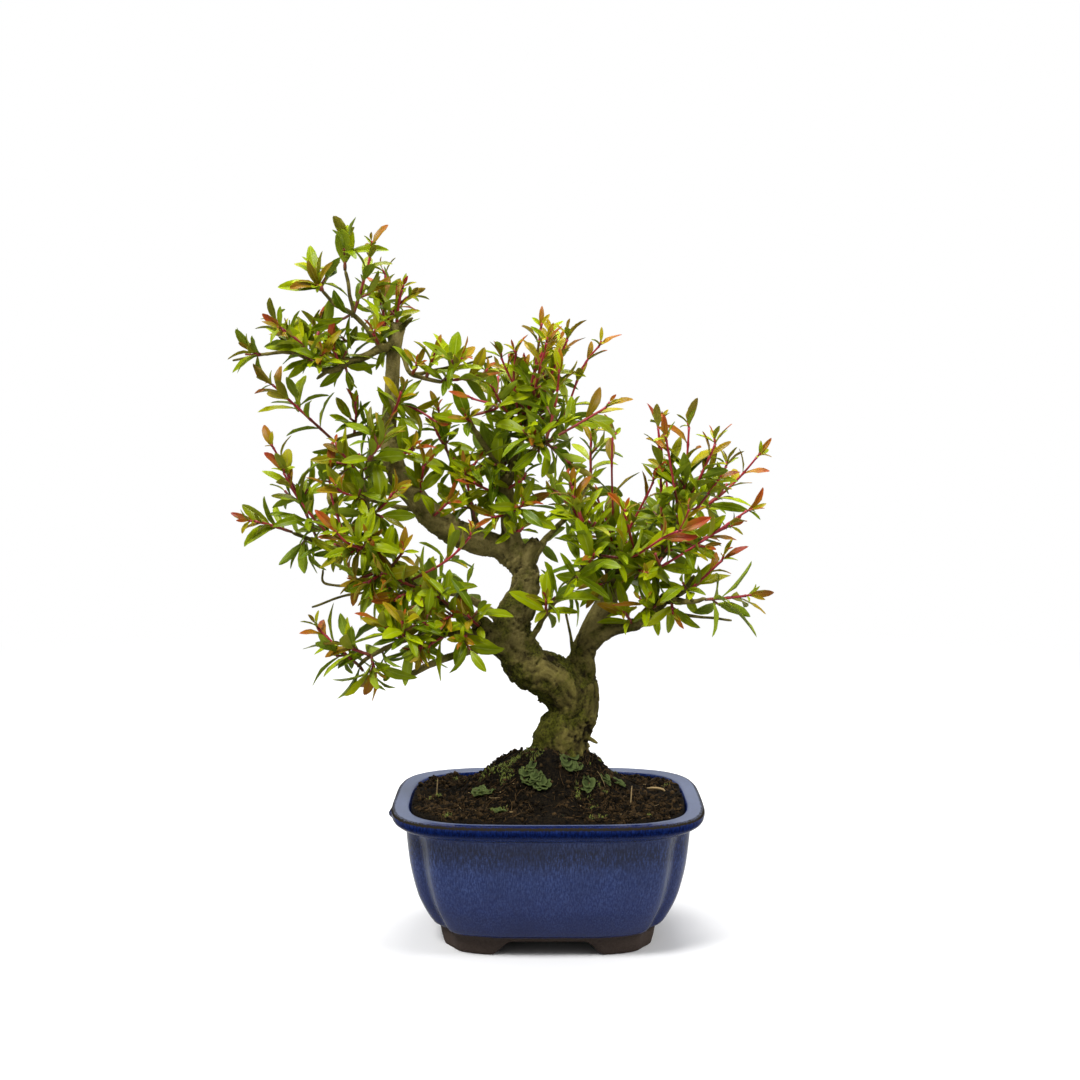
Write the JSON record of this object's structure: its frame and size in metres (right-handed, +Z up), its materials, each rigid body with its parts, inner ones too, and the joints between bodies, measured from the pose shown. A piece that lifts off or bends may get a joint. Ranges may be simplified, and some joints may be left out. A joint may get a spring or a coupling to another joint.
{
  "type": "pomegranate bonsai in a pot",
  "caption": "Pomegranate grown as a bonsai: a short thick trunk with a twisting leader, a second stem and small glossy leaves, in mounded soil in a footed blue glazed pot.",
  "frame": {"origin": "under the middle of the whole object's box, on the surface that it stands on; the pot's middle is 23 mm towards +X and 2 mm towards -Y of it", "axes": "+Z up, -Y towards the front of the tree, +X to the right of someone who faces that front; the tree's leader leans towards -X"},
  "size_m": [0.2734, 0.1333, 0.3621],
  "materials": {
    "glaze": "gloss",
    "drain_plastic": "matte",
    "peat": "matte",
    "bark": "matte",
    "liverwort": "satin",
    "leaf": "satin"
  },
  "bodies": {
    "root": {"pot": "glaze", "drain_mesh_left": "drain_plastic", "drain_mesh_right": "drain_plastic", "soil": "peat", "trunk": "bark", "liverwort_1": "liverwort", "liverwort_2": "liverwort", "spray_right_1": "leaf", "spray_right_2": "leaf", "spray_right_3": "leaf", "spray_right_4": "leaf", "spray_right_5": "leaf", "spray_right_6": "leaf", "spray_right_7": "leaf", "spray_right_8": "leaf", "spray_right_9": "leaf", "spray_right_10": "leaf", "spray_right_11": "leaf", "spray_right_12": "leaf", "spray_right_13": "leaf", "spray_right_14": "leaf", "spray_centre_1": "leaf", "spray_centre_2": "leaf", "spray_centre_3": "leaf", "spray_centre_4": "leaf", "spray_centre_5": "leaf", "spray_centre_6": "leaf", "spray_centre_7": "leaf", "spray_centre_8": "leaf", "spray_centre_9": "leaf", "spray_centre_10": "leaf", "spray_centre_11": "leaf", "spray_centre_12": "leaf", "spray_centre_13": "leaf", "spray_left_1": "leaf", "spray_left_2": "leaf", "spray_left_3": "leaf", "spray_left_4": "leaf", "spray_left_5": "leaf", "spray_left_6": "leaf", "spray_left_7": "leaf", "spray_left_8": "leaf", "spray_left_9": "leaf", "spray_left_10": "leaf", "spray_left_11": "leaf", "spray_left_12": "leaf", "spray_left_13": "leaf", "spray_left_14": "leaf", "spray_left_15": "leaf", "spray_left_16": "leaf", "spray_left_17": "leaf", "spray_crown_1": "leaf", "spray_crown_2": "leaf", "spray_crown_3": "leaf", "spray_crown_4": "leaf", "spray_crown_5": "leaf", "spray_crown_6": "leaf", "spray_crown_7": "leaf", "spray_crown_8": "leaf", "spray_crown_9": "leaf"}
  },
  "joints": []
}
